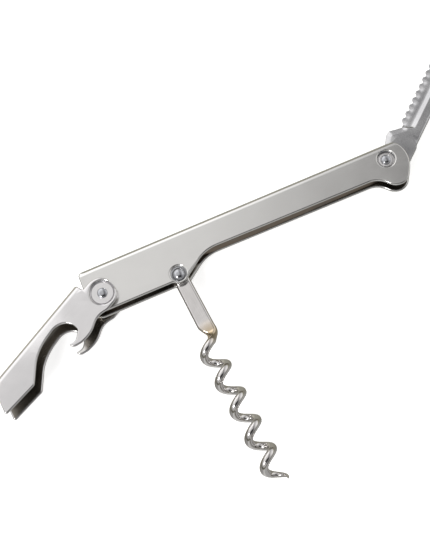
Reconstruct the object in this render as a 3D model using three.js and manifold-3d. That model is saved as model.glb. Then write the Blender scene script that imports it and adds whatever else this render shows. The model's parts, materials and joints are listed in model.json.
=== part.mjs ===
// A folding waiter's corkscrew, all steel: a channel handle, a channel lever with a bottle-cap hook, a worm on a
// flat shank and a serrated foil knife, each turning on a rivet that lies across the handle.
// Millimetres. The corkscrew lies on its side: +X runs along the handle towards the knife, +Y from the worm to the
// handle's spine, and +Z across the handle, along the rivets.
import * as THREE from "three";
import { mergeVertices } from "three/addons/utils/BufferGeometryUtils.js";
import Module from "manifold-3d";

const wasm = await Module();
wasm.setup();

// ---------------------------------------------------------------- driving dimensions

const RUNNING_GAP = 0.2; // round a rivet, in every hole it passes through
const FACE_GAP = 0.1; // between flat faces that lie on each other

const HANDLE = {
  width: 7.2,
  sheet: 1.2,
  bend: 2.3,
  left: -5.5, // the end under the lever, from the lever's pivot
  spine: 10.7,
  wideEdge: -5.5,
  narrowEdge: 0.6,
};
const KNIFE_SLOT = { start: 51.5, width: 3.2 };

// The handle's frame starts at the lever's pivot.
const WORM_PIVOT = { x: 25.3, y: -3.4 };
const KNIFE_PIVOT = { x: 103.2, y: 5.3 };

// How the three tools stand when the corkscrew is open, measured from the handle's +X.
const LEVER_ANGLE = THREE.MathUtils.degToRad(209.3);
const WORM_ANGLE = THREE.MathUtils.degToRad(-84.8);
const KNIFE_ANGLE = THREE.MathUtils.degToRad(41);

const LEVER = { width: 12, sheet: 1.2, bend: 2.3, spine: -9.1, spineStart: 3.4, wallEnd: 47.2, end: 50, lip: -4.7 };

const BLADE = {
  thickness: 2.2,
  edgeThickness: 0.5,
  back: -6.7,
  tangBack: -7.1,
  grindLine: -3.85,
  plunge: 13.4,
  toothTip: 1.4,
  toothRoot: 0.5,
  toothPitch: 2.78,
  firstTooth: 16.5,
  teeth: 10,
  length: 50,
};

const SHANK = { thickness: 2.2, halfWidth: 2.6, eye: 2.65 };
const HELIX = { wire: 2.8, radius: 2.75, pitch: 10.15, turns: 5.1, start: 23.6, axis: -2.7, point: 11 };

const SPRING = { width: 4, thickness: 0.8, top: 1.5, end: 102.6 };

// Each pivot: the rivet's shank, its domed heads, the dimples that it sits in and the washers under its heads.
const LEVER_RIVET = { shank: 1.4, head: 1.7, dome: 0.75, headTop: 5.9 };
const WORM_RIVET = { shank: 1.5, head: 2, dome: 1.3, headTop: 3.75 };
const KNIFE_RIVET = { shank: 1.3, head: 1.6, dome: 0.85, headTop: 3.55 };
const LEVER_DIMPLE = { rim: 4.2, floor: 3.85, bossRoot: 4.75, bossFace: 4.5, inner: 3.75, floorSheet: 0.9 };
const WORM_DIMPLE = { rim: 2.65, floor: 2.35, bossRoot: 3.15, bossFace: 2.95, inner: 1.3, floorSheet: 0.9 };
const KNIFE_DIMPLE = { rim: 3, floor: 2.75, bossRoot: 3.5, bossFace: 3.3, inner: 1.3, floorSheet: 0.9 };
const LEVER_WASHER = { outer: 3.65, thickness: 0.35 };
const KNIFE_WASHER = { outer: 2.4, thickness: 0.3 };
const SPACER_TUBE = { outer: 2.3, length: 4.5 };

const ARC_STEPS = 4; // half the number of chords in one fillet
const ROUND_STEPS = 28; // chords round a rivet, washer or dimple

// ---------------------------------------------------------------- materials

function steel(red, green, blue, roughness) {
  return new THREE.MeshStandardMaterial({ color: new THREE.Color(red, green, blue), metalness: 1, roughness });
}

const polishedSheet = steel(0.78, 0.77, 0.76, 0.24);
const leverSheet = steel(0.78, 0.77, 0.78, 0.22);
const wormSteel = steel(0.72, 0.71, 0.7, 0.2);
const bladeSteel = steel(0.6, 0.6, 0.62, 0.35);
const rivetSteel = steel(0.68, 0.68, 0.7, 0.28);
const springSteel = steel(0.36, 0.31, 0.27, 0.4);

// ---------------------------------------------------------------- solids and outlines

function solidOf(geometry) {
  const bare = geometry.clone();
  bare.deleteAttribute("normal");
  bare.deleteAttribute("uv");
  const merged = mergeVertices(bare, 1e-4);
  return new wasm.Manifold(
    new wasm.Mesh({
      numProp: 3,
      vertProperties: new Float32Array(merged.attributes.position.array),
      triVerts: new Uint32Array(merged.index.array),
    }),
  );
}

function meshOf(name, manifold, material) {
  const { numProp, numVert, vertProperties, triVerts } = manifold.getMesh();
  const positions = new Float32Array(numVert * 3);
  for (let i = 0; i < numVert; i++) {
    positions.set(vertProperties.subarray(i * numProp, i * numProp + 3), i * 3);
  }
  const geometry = new THREE.BufferGeometry();
  geometry.setAttribute("position", new THREE.BufferAttribute(positions, 3));
  geometry.setIndex(new THREE.BufferAttribute(new Uint32Array(triVerts), 1));
  geometry.computeVertexNormals();
  const mesh = new THREE.Mesh(geometry, material);
  mesh.name = name;
  return mesh;
}

// A closed outline through corners [x, y, fillet radius], drawn with straight lines and tangent arcs.
function filletedShape(corners) {
  const shape = new THREE.Shape();
  const count = corners.length;
  for (let i = 0; i < count; i++) {
    const [x, y, radius] = corners[i];
    const corner = new THREE.Vector2(x, y);
    const before = new THREE.Vector2(...corners[(i + count - 1) % count]).sub(corner).normalize();
    const after = new THREE.Vector2(...corners[(i + 1) % count]).sub(corner).normalize();
    if (!radius) {
      drawTo(shape, corner, i === 0);
      continue;
    }
    const half = Math.acos(THREE.MathUtils.clamp(before.dot(after), -1, 1)) / 2;
    const reach = radius / Math.tan(half);
    const centre = before.clone().add(after).setLength(radius / Math.sin(half)).add(corner);
    const from = before.multiplyScalar(reach).add(corner);
    const to = after.multiplyScalar(reach).add(corner);
    const clockwise = corner.clone().sub(from).cross(to.clone().sub(corner)) < 0;
    drawTo(shape, from, i === 0);
    const startAngle = Math.atan2(from.y - centre.y, from.x - centre.x);
    const endAngle = Math.atan2(to.y - centre.y, to.x - centre.x);
    shape.absarc(centre.x, centre.y, radius, startAngle, endAngle, clockwise);
  }
  shape.closePath();
  return shape;
}

function drawTo(shape, point, isFirst) {
  if (isFirst) shape.moveTo(point.x, point.y);
  else shape.lineTo(point.x, point.y);
}

// A flat plate of the outline, its middle plane at z = 0.
function plate(shape, thickness) {
  const options = { depth: thickness, bevelEnabled: false, curveSegments: ARC_STEPS };
  return solidOf(new THREE.ExtrudeGeometry(shape, options).translate(0, 0, -thickness / 2));
}

// A bar that runs along X: its section is drawn with z across and y up.
function bar(section, start, end) {
  const options = { depth: end - start, bevelEnabled: false, curveSegments: ARC_STEPS };
  const geometry = new THREE.ExtrudeGeometry(section, options);
  return solidOf(geometry.rotateY(Math.PI / 2).translate(start, 0, 0));
}

// The section of a sheet folded twice: a spine with rounded bends and two walls that reach from it to the rim.
function channelSection({ width, sheet, bend, spine }, rim) {
  const side = width / 2;
  const inner = side - sheet;
  const insideSpine = spine + Math.sign(rim - spine) * sheet;
  return filletedShape([
    [-side, rim, 0],
    [-side, spine, bend],
    [side, spine, bend],
    [side, rim, 0],
    [inner, rim, 0],
    [inner, insideSpine, bend - sheet],
    [-inner, insideSpine, bend - sheet],
    [-inner, rim, 0],
  ]);
}

// A solid of revolution about a line along Z; profile points are [radius, z], from low to high.
function turned(profile, x = 0, y = 0) {
  const points = profile.map(([radius, height]) => new THREE.Vector2(radius, height));
  return solidOf(new THREE.LatheGeometry(points, ROUND_STEPS).rotateX(Math.PI / 2).translate(x, y, 0));
}

function mirroredPair(manifold) {
  return manifold.add(manifold.mirror([0, 0, 1]));
}

function ring(inner, outer, low, high) {
  return turned([[inner, low], [outer, low], [outer, high], [inner, high], [inner, low]]);
}

function disc(radius, low, high, x = 0, y = 0) {
  return turned([[0, low], [radius, low], [radius, high], [0, high]], x, y);
}

// ---------------------------------------------------------------- pivots

// The dimple is pressed inwards from a wall whose outer face is at z = face: the boss it raises, then the recess.
function dimpled(wall, dimple, face, sheet, hole, x, y) {
  const outerFloor = dimple.inner + dimple.floorSheet;
  const boss = turned(
    [[0, dimple.inner], [dimple.bossFace, dimple.inner], [dimple.bossRoot, face - sheet / 2], [0, face - sheet / 2]],
    x,
    y,
  );
  const recess = turned(
    [[0, outerFloor], [dimple.floor, outerFloor], [dimple.rim, face + 1], [0, face + 1]],
    x,
    y,
  );
  const bore = disc(hole + RUNNING_GAP, -face - 1, face + 1, x, y);
  return wall.add(mirroredPair(boss)).subtract(mirroredPair(recess)).subtract(bore);
}

// One rivet: a straight shank with a low dome at each end.
function rivet({ shank, head, dome, headTop }) {
  const domeSteps = 5;
  const seat = headTop - dome;
  const upper = [[shank, seat], [head, seat]];
  for (let i = 1; i <= domeSteps; i++) {
    const angle = (i / domeSteps) * (Math.PI / 2);
    upper.push([head * Math.cos(angle), seat + dome * Math.sin(angle)]);
  }
  upper[upper.length - 1][0] = 0;
  const lower = upper.map(([radius, z]) => [radius, -z]).reverse();
  return turned([...lower, ...upper]);
}

// ---------------------------------------------------------------- handle

// Side view of the handle: deep round the worm, a round boss at the worm's rivet, slim towards the knife, and a
// rounded chin below the knife's pivot.
function handleOutline() {
  const { left, spine, wideEdge, narrowEdge } = HANDLE;
  const boss = 3.3;
  return filletedShape([
    [left, spine, 1.5],
    [left, wideEdge, 3],
    [WORM_PIVOT.x - 2.75, wideEdge, 1.5],
    [WORM_PIVOT.x + 0.05, WORM_PIVOT.y - 4.06, boss],
    [WORM_PIVOT.x + 11, narrowEdge, 12],
    [KNIFE_PIVOT.x - 5.3, 0, 6.9],
    [KNIFE_PIVOT.x - 1.2, -4.7, 4.8],
    [KNIFE_PIVOT.x + 3.6, -4.9, 4.3],
    [KNIFE_PIVOT.x + 9.1, 5.2, 9.3],
    [KNIFE_PIVOT.x + 4.2, spine, 1.7],
  ]);
}

function makeHandle() {
  const { width, sheet, left } = HANDLE;
  const reach = KNIFE_PIVOT.x + 10;
  const face = width / 2;
  let body = bar(channelSection(HANDLE, -12), left - 1, reach).intersect(plate(handleOutline(), width + 1));
  const half = KNIFE_SLOT.width / 2;
  const slot = filletedShape([
    [half, KNIFE_SLOT.start, half * 0.98],
    [half, reach + 1, 0],
    [-half, reach + 1, 0],
    [-half, KNIFE_SLOT.start, half * 0.98],
  ]);
  const slotDepth = { depth: 4, bevelEnabled: false, curveSegments: ARC_STEPS };
  const cutter = new THREE.ExtrudeGeometry(slot, slotDepth).rotateX(-Math.PI / 2).rotateY(-Math.PI / 2);
  body = body.subtract(solidOf(cutter.translate(0, HANDLE.spine - 3, 0)));
  body = body.subtract(disc(LEVER_RIVET.shank + RUNNING_GAP, -face - 1, face + 1));
  body = dimpled(body, WORM_DIMPLE, face, sheet, WORM_RIVET.shank, WORM_PIVOT.x, WORM_PIVOT.y);
  body = dimpled(body, KNIFE_DIMPLE, face, sheet, KNIFE_RIVET.shank, KNIFE_PIVOT.x, KNIFE_PIVOT.y);
  return meshOf("handle", body, polishedSheet);
}

// ---------------------------------------------------------------- lever

// Side view of the lever, x along it from its pivot to its foot. The hook points back over the cap notch, and the
// foot's end is cut back from the toe.
function leverOutline() {
  const { spine, spineStart, wallEnd } = LEVER;
  return filletedShape([
    [spineStart, spine, 0.5],
    [wallEnd, spine, 0],
    [46.4, -5.6, 0.6],
    [49.7, 1.4, 0.7],
    [36.7, 2.35, 1.4],
    [29.9, -2.6, 14.9],
    [25.2, -4.45, 19.9],
    [17.4, -5, 5.4],
    [13.7, -1.6, 4.85],
    [14.3, 1.7, 1.1],
    [17.5, 3.6, 2.5],
    [19.7, 2.8, 0.2],
    [19.9, 4.4, 1.7],
    [16.8, 5.6, 3.5],
    [12.4, 6.05, 10],
    [7, 3.85, 6.4],
    [3.2, 5.25, 3],
    [-3.7, 5.4, 4.6],
    [-5.2, -5.4, 4.9],
    [spineStart - 0.2, -5.8, 0.5],
  ]);
}

// The spine runs past the walls and curls inwards, so the foot has a blunt end between its toes.
function footLip() {
  const { spine, sheet, bend, wallEnd, end, lip, width } = LEVER;
  const inside = spine + sheet;
  const curl = filletedShape([
    [wallEnd - 1.5, spine, 0],
    [end, spine, bend],
    [end, lip, 0.4],
    [end - sheet, lip, 0.4],
    [end - sheet, inside, bend - sheet],
    [wallEnd - 1.5, inside, 0],
  ]);
  return plate(curl, width - 2 * bend);
}

function makeLever() {
  const { width, sheet, spineStart, wallEnd } = LEVER;
  const section = channelSection(LEVER, 8);
  const folded = bar(section, spineStart - 10, wallEnd + 4).intersect(plate(leverOutline(), width + 1));
  const body = dimpled(folded.add(footLip()), LEVER_DIMPLE, width / 2, sheet, LEVER_RIVET.shank, 0, 0);
  const mesh = meshOf("lever", body, leverSheet);
  mesh.rotation.z = LEVER_ANGLE;
  return mesh;
}

// ---------------------------------------------------------------- worm

// Side view of the flat shank, x from its eye down to where it narrows into the wire.
function shankOutline() {
  const { halfWidth, eye } = SHANK;
  return filletedShape([
    [-eye, -eye, eye * 0.98],
    [19, -halfWidth - 0.3, 1.2],
    [23.4, -0.9, 1],
    [25, 0.3, 0.4],
    [24.4, 1.5, 0.6],
    [21.6, halfWidth, 3],
    [-eye, eye, eye * 0.98],
  ]);
}

// The wire's middle line: out of the shank, then round the helix to the point.
function wormPath() {
  const { radius, pitch, turns, start, axis } = HELIX;
  const stepsPerTurn = 12;
  const leadIn = 30;
  const points = [new THREE.Vector3(start - 3, 0.3, 0), new THREE.Vector3(start - 1.2, 0.3, 0.05)];
  for (let degrees = leadIn; degrees <= turns * 360; degrees += 360 / stepsPerTurn) {
    const angle = THREE.MathUtils.degToRad(degrees);
    const along = start + (pitch * degrees) / 360;
    points.push(new THREE.Vector3(along, axis + radius * Math.cos(angle), radius * Math.sin(angle)));
  }
  return new THREE.CatmullRomCurve3(points, false, "centripetal");
}

// Each ring of the swept wire near the end shrinks towards the path, which grinds the wire to a point.
function taperToPoint(geometry, path, steps) {
  const centres = path.getSpacedPoints(steps);
  const length = path.getLength();
  const smallest = 0.12;
  const position = geometry.attributes.position;
  const vertex = new THREE.Vector3();
  for (let i = 0; i < position.count; i++) {
    vertex.fromBufferAttribute(position, i);
    let nearest = 0;
    centres.forEach((centre, j) => {
      if (centre.distanceToSquared(vertex) < centres[nearest].distanceToSquared(vertex)) nearest = j;
    });
    const toGo = length * (1 - nearest / steps);
    const scale = Math.min(1, smallest + (1 - smallest) * (toGo / HELIX.point) ** 0.7);
    vertex.lerpVectors(centres[nearest], vertex.clone(), scale);
    position.setXYZ(i, vertex.x, vertex.y, vertex.z);
  }
}

function makeWorm() {
  const path = wormPath();
  const steps = 84;
  const wireSides = 10;
  const circle = new THREE.Shape().absarc(0, 0, HELIX.wire / 2, 0, Math.PI * 2, false);
  const options = { extrudePath: path, steps, bevelEnabled: false, curveSegments: wireSides / 2 };
  const wire = new THREE.ExtrudeGeometry(circle, options);
  taperToPoint(wire, path, steps);
  const eyeHole = disc(WORM_RIVET.shank + RUNNING_GAP, -SHANK.thickness, SHANK.thickness);
  const body = plate(shankOutline(), SHANK.thickness).subtract(eyeHole).add(solidOf(wire));
  const mesh = meshOf("worm", body, wormSteel);
  mesh.position.set(WORM_PIVOT.x, WORM_PIVOT.y, 0);
  mesh.rotation.z = WORM_ANGLE;
  return mesh;
}

// ---------------------------------------------------------------- foil knife

// Side view of the knife, x from its pivot to its tip, the teeth on the +Y side.
function knifeOutline() {
  const { back, tangBack, plunge, firstTooth, teeth, toothPitch, toothTip, toothRoot, length } = BLADE;
  const pivotRound = 3.5;
  const corners = [
    [-pivotRound, -pivotRound, pivotRound * 0.98],
    [0.6, -pivotRound, 0.4],
    [1.2, tangBack, 1],
    [9.1, tangBack, 0.3],
    [10.1, back, 0.3],
    [36, back, 26],
    [length, 0.4, 0.8],
    [length - 1.4, 2.2, 0.6],
  ];
  for (let i = teeth - 1; i >= 0; i--) {
    const tip = firstTooth + i * toothPitch;
    corners.push([tip + 0.5, toothTip, 0.15], [tip - 0.3, toothTip, 0.15], [tip - toothPitch / 2, toothRoot, 0.7]);
  }
  corners.push(
    [plunge + 0.3, 0.2, 0.4],
    [10.6, 3.7, 0.8],
    [8.9, 3.9, 1.5],
    [5.2, 2.7, 3],
    [1.5, pivotRound, 2],
    [-pivotRound, pivotRound, pivotRound * 0.98],
  );
  return filletedShape(corners);
}

// The hollow grind thins the blade from the grind line to the teeth, equally on both faces.
function grindCutter() {
  const { thickness, edgeThickness, grindLine, toothTip, plunge, length } = BLADE;
  const face = thickness / 2;
  const beyond = toothTip + 4;
  const slope = (face - edgeThickness / 2) / (toothTip - grindLine);
  const section = new THREE.Shape([
    new THREE.Vector2(face + 0.5, grindLine),
    new THREE.Vector2(face, grindLine),
    new THREE.Vector2(face - slope * (beyond - grindLine) * 0.8, beyond),
    new THREE.Vector2(face + 0.5, beyond),
  ]);
  return mirroredPair(bar(section, plunge, length + 5));
}

function makeKnife() {
  const hole = disc(KNIFE_RIVET.shank + RUNNING_GAP, -BLADE.thickness, BLADE.thickness);
  const body = plate(knifeOutline(), BLADE.thickness).subtract(hole).subtract(grindCutter());
  const mesh = meshOf("foil_knife", body, bladeSteel);
  mesh.position.set(KNIFE_PIVOT.x, KNIFE_PIVOT.y, 0);
  mesh.rotation.z = KNIFE_ANGLE;
  return mesh;
}

// ---------------------------------------------------------------- back spring

// One leaf: it hooks round the spacer tube, passes over the worm's pivot and ends below the knife's tang.
function makeSpring() {
  const { width, thickness, top, end } = SPRING;
  const hook = SPACER_TUBE.outer + 0.3 + thickness / 2;
  const level = top - thickness / 2;
  const points = [];
  for (let degrees = 60; degrees <= 270; degrees += 30) {
    const angle = THREE.MathUtils.degToRad(degrees);
    points.push(new THREE.Vector3(hook * Math.cos(angle), hook * Math.sin(angle), 0));
  }
  points.push(
    new THREE.Vector3(5, -hook + 0.1, 0),
    new THREE.Vector3(13, -0.8, 0),
    new THREE.Vector3(20, level, 0),
    new THREE.Vector3(28, level + 0.2, 0),
    new THREE.Vector3(42, level, 0),
    new THREE.Vector3(end, level, 0),
  );
  const path = new THREE.CatmullRomCurve3(points, false, "centripetal");
  const section = filletedShape([
    [-width / 2, -thickness / 2, 0],
    [width / 2, -thickness / 2, 0],
    [width / 2, thickness / 2, 0],
    [-width / 2, thickness / 2, 0],
  ]);
  const leaf = new THREE.ExtrudeGeometry(section, { extrudePath: path, steps: 70, bevelEnabled: false });
  return meshOf("back_spring", solidOf(leaf), springSteel);
}

// ---------------------------------------------------------------- rivets, washers and spacer

function pinAt(name, sizes, { x, y }) {
  const mesh = meshOf(name, rivet(sizes), rivetSteel);
  mesh.position.set(x, y, 0);
  return mesh;
}

// Two equal washers, one on each dimple's floor, under the rivet's heads.
function washerPair(name, washer, dimple, shank, { x, y }) {
  const low = dimple.inner + dimple.floorSheet + FACE_GAP;
  const upper = ring(shank + RUNNING_GAP, washer.outer, low, low + washer.thickness);
  const meshes = [
    meshOf(name + "_upper", upper, rivetSteel),
    meshOf(name + "_lower", upper.mirror([0, 0, 1]), rivetSteel),
  ];
  meshes.forEach((mesh) => mesh.position.set(x, y, 0));
  return meshes;
}

function makeSpacerTube() {
  const half = SPACER_TUBE.length / 2;
  const tube = ring(LEVER_RIVET.shank + RUNNING_GAP, SPACER_TUBE.outer, -half, half);
  return meshOf("lever_spacer_tube", tube, rivetSteel);
}

// ---------------------------------------------------------------- assembly

const LEVER_PIVOT = { x: 0, y: 0 };
const onItsSide = new THREE.Group();
onItsSide.add(
  makeHandle(),
  makeLever(),
  makeWorm(),
  makeKnife(),
  makeSpring(),
  makeSpacerTube(),
  pinAt("lever_rivet", LEVER_RIVET, LEVER_PIVOT),
  pinAt("worm_rivet", WORM_RIVET, WORM_PIVOT),
  pinAt("knife_rivet", KNIFE_RIVET, KNIFE_PIVOT),
  ...washerPair("lever_washer", LEVER_WASHER, LEVER_DIMPLE, LEVER_RIVET.shank, LEVER_PIVOT),
  ...washerPair("knife_washer", KNIFE_WASHER, KNIFE_DIMPLE, KNIFE_RIVET.shank, KNIFE_PIVOT),
);

// The frame's origin is the middle of the base that the open corkscrew lies on.
const box = new THREE.Box3().setFromObject(onItsSide, true);
const middle = box.getCenter(new THREE.Vector3());
onItsSide.position.set(-middle.x, -middle.y, -box.min.z);

const corkscrew = new THREE.Group();
corkscrew.add(onItsSide);

export default corkscrew;
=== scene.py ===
import json
import math

import bmesh
import bpy
import numpy as np
from mathutils import Matrix, Vector
from mathutils.geometry import delaunay_2d_cdt


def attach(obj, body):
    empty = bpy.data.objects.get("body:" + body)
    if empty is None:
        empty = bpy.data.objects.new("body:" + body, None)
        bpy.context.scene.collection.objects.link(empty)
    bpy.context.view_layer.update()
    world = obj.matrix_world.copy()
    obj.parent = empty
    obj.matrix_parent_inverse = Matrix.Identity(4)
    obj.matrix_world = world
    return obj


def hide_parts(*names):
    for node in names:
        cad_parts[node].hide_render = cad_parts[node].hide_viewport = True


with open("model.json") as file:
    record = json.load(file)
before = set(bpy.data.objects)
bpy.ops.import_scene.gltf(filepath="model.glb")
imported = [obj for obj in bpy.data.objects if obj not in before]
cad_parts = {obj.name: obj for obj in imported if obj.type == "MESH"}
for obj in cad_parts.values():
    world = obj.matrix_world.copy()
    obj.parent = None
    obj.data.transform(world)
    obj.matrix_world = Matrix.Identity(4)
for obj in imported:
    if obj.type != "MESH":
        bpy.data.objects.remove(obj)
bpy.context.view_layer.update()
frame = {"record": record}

# ---------------------------------------------------------------- sizes, in millimetres

MM = 0.001
HALF_PI = math.pi / 2

PIVOTS = {joint["name"]: Vector(joint["pos_m"]) for joint in frame["record"]["behaviour"]["joints"]}
LEVER_PIVOT = PIVOTS["lever_pivot"]
WORM_PIVOT = PIVOTS["worm_pivot"]
KNIFE_PIVOT = PIVOTS["knife_pivot"]

LEVER_ANGLE = math.radians(209.3)
WORM_ANGLE = math.radians(-84.8)
KNIFE_ANGLE = math.radians(41)

# The pivots in the handle's own frame, which starts at the lever's pivot.
WORM_AT = ((WORM_PIVOT - LEVER_PIVOT) / MM).to_2d()
KNIFE_AT = ((KNIFE_PIVOT - LEVER_PIVOT) / MM).to_2d()

SHEET = 1.2  # thickness of the handle's and the lever's sheet
BEND = 2.3  # outer radius of their folds
RIM_EDGE = 0.5  # rounding of their cut edges

# Radii of the holes that the rivets go through, and of the tube round the lever's rivet.
LEVER_BORE = 1.6
WORM_BORE = 1.7
KNIFE_BORE = 1.5
CLEARANCE = 0.2
TUBE_RADIUS = 2.3

BEND_STEPS = 9
ROUND_STEPS = 56
LONGEST_CHORD = 0.9
FOLD_PASSES = 12
MARGIN = 0.07  # kept clear between a sheet's rim and the lines inside it


def placed(pivot, angle=0.0):
    """From a piece's own frame in millimetres to the row frame in metres."""
    return Matrix.Translation(pivot) @ Matrix.Rotation(angle, 4, "Z") @ Matrix.Scale(MM, 4)


# ---------------------------------------------------------------- outlines

def outline(corners, step=math.radians(8)):
    """A closed polygon through corners (x, y, fillet radius), each fillet a fine arc."""
    points = []
    count = len(corners)
    for i, (x, y, radius) in enumerate(corners):
        corner = np.array([x, y], float)
        before = np.array(corners[i - 1][:2], float) - corner
        after = np.array(corners[(i + 1) % count][:2], float) - corner
        before /= np.linalg.norm(before)
        after /= np.linalg.norm(after)
        if radius <= 0:
            points.append(corner)
            continue
        half = math.acos(max(-1.0, min(1.0, before @ after))) / 2
        reach = radius / math.tan(half)
        middle = before + after
        centre = corner + middle / np.linalg.norm(middle) * radius / math.sin(half)
        start = corner + before * reach - centre
        turn = math.pi - 2 * half
        if before[0] * after[1] - before[1] * after[0] > 0:
            turn = -turn
        steps = max(2, math.ceil(abs(turn) / step), math.ceil(abs(turn) * radius / LONGEST_CHORD))
        for k in range(steps + 1):
            c, s = math.cos(turn * k / steps), math.sin(turn * k / steps)
            points.append(centre + np.array([c * start[0] - s * start[1], s * start[0] + c * start[1]]))
    kept = [points[0]]
    for point in points[1:]:
        if np.linalg.norm(point - kept[-1]) > 1e-4:
            kept.append(point)
    if np.linalg.norm(kept[0] - kept[-1]) < 1e-4:
        kept.pop()
    return np.array(kept)


def signed_area(loop):
    x, y = loop[:, 0], loop[:, 1]
    return 0.5 * float(np.sum(x * np.roll(y, -1) - np.roll(x, -1) * y))


def anticlockwise(loop):
    return loop if signed_area(loop) > 0 else loop[::-1]


def circle(x, y, radius, steps=ROUND_STEPS):
    """A hole's loop: clockwise, so that the material is on its left."""
    angles = -np.arange(steps) * 2 * math.pi / steps
    return np.stack([x + radius * np.cos(angles), y + radius * np.sin(angles)], 1)


def inset(loop, distance):
    """The loop moved into the material on its left. Points run together where it would fold over itself."""
    ahead = np.roll(loop, -1, 0) - loop
    ahead /= np.linalg.norm(ahead, axis=1)[:, None]
    normal = np.stack([-ahead[:, 1], ahead[:, 0]], 1)
    previous = np.roll(normal, 1, 0)
    scale = 1 + np.sum(normal * previous, 1)
    moved = loop + (distance / np.maximum(scale, 0.45))[:, None] * (normal + previous)
    count = len(loop)
    for _ in range(FOLD_PASSES):
        forward = np.sum((np.roll(moved, -1, 0) - moved) * ahead, 1) > 1e-9
        order = (np.arange(count) + np.flatnonzero(forward)[0] + 1) % count
        group = np.concatenate([[0], np.cumsum(forward[order[:-1]])])
        shared = np.stack([np.bincount(group, moved[order, k]) / np.bincount(group) for k in (0, 1)], 1)
        moved[order] = shared[group]
    return moved


def inside(points, loops):
    """Whether each point is inside the material that the loops bound, by crossing count."""
    points = np.asarray(points, float).reshape(-1, 2)
    crossings = np.zeros(len(points), int)
    for loop in loops:
        a, b = loop, np.roll(loop, -1, 0)
        for (x0, y0), (x1, y1) in zip(a, b):
            if y0 == y1:
                continue
            spans = (y0 > points[:, 1]) != (y1 > points[:, 1])
            at = x0 + (points[:, 1] - y0) * (x1 - x0) / (y1 - y0)
            crossings += spans & (points[:, 0] < at)
    return crossings % 2 == 1


def distance_to(points, path):
    """Distance from each point to an open path of 2D points."""
    points = np.asarray(points, float).reshape(-1, 2)
    best = np.full(len(points), 1e9)
    for a, b in zip(path[:-1], path[1:]):
        a, b = np.array(a, float), np.array(b, float)
        along = b - a
        t = np.clip(((points - a) @ along) / (along @ along), 0, 1)
        best = np.minimum(best, np.linalg.norm(points - a - t[:, None] * along, axis=1))
    return best


# ---------------------------------------------------------------- meshes

def finished(name, vertices, faces, matrix, materials, face_material=None, sharp=38.0):
    """A named object in the row frame, smooth except over its sharp edges."""
    mesh = bpy.data.meshes.new(name)
    world = [matrix @ Vector(v) for v in vertices]
    mesh.from_pydata(world, [], [tuple(int(i) for i in f) for f in faces])
    for material in materials:
        mesh.materials.append(material)
    if face_material is not None:
        mesh.polygons.foreach_set("material_index", np.array(face_material, np.int32))
    bm = bmesh.new()
    bm.from_mesh(mesh)
    bmesh.ops.remove_doubles(bm, verts=bm.verts, dist=2e-7)
    bmesh.ops.dissolve_degenerate(bm, edges=bm.edges, dist=1e-8)
    bmesh.ops.recalc_face_normals(bm, faces=bm.faces)
    for face in bm.faces:
        face.smooth = True
    for edge in bm.edges:
        edge.smooth = len(edge.link_faces) != 2 or edge.calc_face_angle(0) < math.radians(sharp)
    bm.to_mesh(mesh)
    bm.free()
    piece = bpy.data.objects.new(name, mesh)
    bpy.context.scene.collection.objects.link(piece)
    weighted = piece.modifiers.new("even_shading", "WEIGHTED_NORMAL")
    weighted.keep_sharp = True
    weighted.mode = "FACE_AREA_WITH_ANGLE"
    return piece


def sheet(loops, lines, surface, thickness, edge, edge_steps=4, tips=()):
    """The two faces of a plate or folded sheet and the rounded rim between them, finer round sharp tips.

    surface(points, depth) places flat-pattern points: depth 0 is the outer face and depth 1 the inner one.
    Returns vertices, faces and, for each face, 0 for the outer face and the rim or 1 for the inner face."""

    def rim_line(loop, back):
        away = np.full(len(loop), 3.0)
        for tip in tips:
            away = np.minimum(away, np.linalg.norm(loop - np.array(tip), axis=1))
        return inset(loop, back * np.clip(0.25 + away / 3, 0, 1))

    rings = []
    for k in range(edge_steps + 1):
        angle = HALF_PI * k / edge_steps
        rings.append((edge * (1 - math.sin(angle)), edge * (1 - math.cos(angle)) / thickness))
    rings += [(back, 1 - depth) for back, depth in reversed(rings)]
    borders = [rim_line(loop, edge) for loop in loops]

    points = [tuple(p) for border in borders for p in border]
    edges = []
    start = 0
    for border in borders:
        edges += [(start + i, start + (i + 1) % len(border)) for i in range(len(border))]
        start += len(border)
    margins = [inset(loop, edge + MARGIN) for loop in loops]
    for line in lines:
        line = np.asarray(line, float)
        held = inside(line, margins)
        for i, point in enumerate(line):
            if not held[i]:
                continue
            points.append(tuple(point))
            if i and held[i - 1]:
                edges.append((len(points) - 2, len(points) - 1))
    flat, _, triangles, origins, _, _ = delaunay_2d_cdt([Vector(p) for p in points], edges, [], 0, 1e-6)
    flat = np.array([tuple(p) for p in flat])
    triangles = np.array(triangles)
    triangles = triangles[inside(flat[triangles].mean(1), borders)]
    made_from = {}
    for new, olds in enumerate(origins):
        for old in olds:
            made_from[old] = new

    outer = surface(flat, np.zeros(len(flat)))
    inner = surface(flat, np.ones(len(flat)))
    vertices = [outer, inner]
    count = len(flat)
    faces = [tuple(t) for t in triangles] + [tuple(t[::-1] + count) for t in triangles]
    sides = [0] * len(triangles) + [1] * len(triangles)
    total = 2 * count
    start = 0
    for loop in loops:
        n = len(loop)
        rows = [np.array([made_from[start + i] for i in range(n)])]
        for back, depth in rings[1:-1]:
            vertices.append(surface(rim_line(loop, back), np.full(n, depth)))
            rows.append(np.arange(total, total + n))
            total += n
        rows.append(rows[0] + count)
        for low, high in zip(rows[:-1], rows[1:]):
            for i in range(n):
                j = (i + 1) % n
                rim = tuple(dict.fromkeys((low[i], high[i], high[j], low[j])))
                if len(rim) > 2:
                    faces.append(rim)
                    sides.append(0)
        start += n
    return np.concatenate(vertices), faces, sides


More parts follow.
